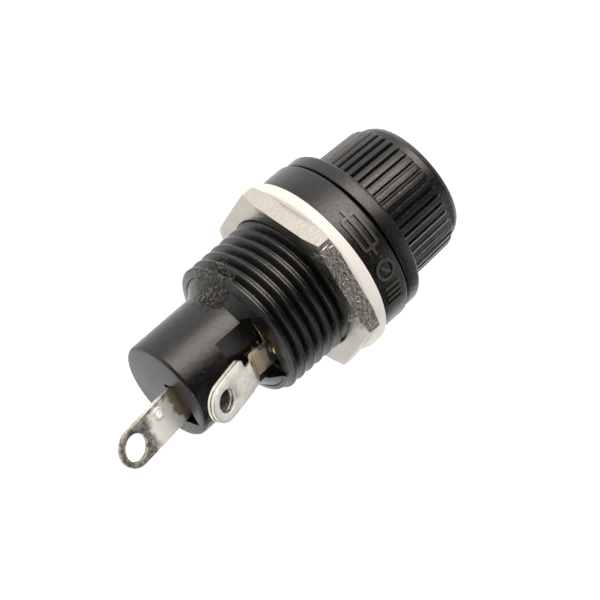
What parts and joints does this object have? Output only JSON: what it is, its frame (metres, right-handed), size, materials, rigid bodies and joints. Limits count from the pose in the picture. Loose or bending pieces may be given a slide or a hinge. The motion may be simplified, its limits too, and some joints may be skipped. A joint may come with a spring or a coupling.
{
  "type": "cartridge fuse holder",
  "caption": "Panel-mount cartridge fuse holder with a knurled screw cap, a hexagonal panel nut and two eyed solder terminals.",
  "frame": {"origin": "on the holder's axis, in the plane of the flange's rear face, where the panel seats", "axes": "+Y along the axis from the cap to the solder terminals; +Z through the middle of the side terminal; +X completes the right-handed frame"},
  "size_m": [0.0164, 0.0347, 0.0168],
  "materials": {
    "black_moulding": "black thermoset moulding, semi-gloss",
    "nut_plating": "nickel plate over a slightly grainy surface",
    "washer_plastic": "off-white, satin",
    "terminal_plating": "tinned brass strip, lightly tarnished",
    "spring_steel": "bright spring wire and strip",
    "brass": "plain brass, dull",
    "fuse_glass": "clear",
    "fuse_cap_plating": "nickel plate, bright",
    "fuse_wire": "fine wire",
    "solder": "dull solder"
  },
  "bodies": {
    "root": {"holder_body": "black_moulding", "side_contact_ring": "brass", "side_terminal": "terminal_plating", "side_rivet": "brass", "tail_terminal": "terminal_plating"},
    "fuse": {"fuse_glass": "fuse_glass", "fuse_cap_front": "fuse_cap_plating", "fuse_cap_rear": "fuse_cap_plating", "fuse_wire": "fuse_wire", "fuse_solder_front": "solder", "fuse_solder_rear": "solder"},
    "cap": {"cap_shell": "black_moulding", "carrier_sleeve": "terminal_plating", "fuse_clip": "spring_steel", "clip_rivet": "brass"},
    "washer": {"panel_washer": "washer_plastic"},
    "nut": {"panel_nut": "nut_plating"},
    "tail_contact": {"contact_cup": "brass", "contact_spring": "spring_steel"}
  },
  "joints": [
    {"name": "cap_travel", "type": "slide", "parent": "root", "child": "fuse", "axis": [0, -1, 0], "range_m": [0, 0.0045]},
    {"name": "cap_turn", "type": "hinge", "parent": "fuse", "child": "cap", "pos_m": [0, 0, 0], "axis": [0, -1, 0], "range_deg": [0, 1080]},
    {"name": "washer_travel", "type": "slide", "parent": "root", "child": "washer", "axis": [0, 1, 0], "range_m": [0, 0.006]},
    {"name": "nut_turn", "type": "hinge", "parent": "washer", "child": "nut", "pos_m": [0, 0, 0], "axis": [0, 1, 0], "range_deg": [0, 2160]},
    {"name": "tail_contact_travel", "type": "slide", "parent": "root", "child": "tail_contact", "axis": [0, -1, 0], "range_m": [0, 0.0012], "deforming": ["contact_spring"]}
  ],
  "couplings": [
    {"joint": "cap_turn", "follows": "cap_travel", "rad_per_m": 4188.8},
    {"joint": "tail_contact_travel", "follows": "cap_travel", "ratio": 0.26667},
    {"joint": "nut_turn", "follows": "washer_travel", "rad_per_m": 6283.2}
  ]
}
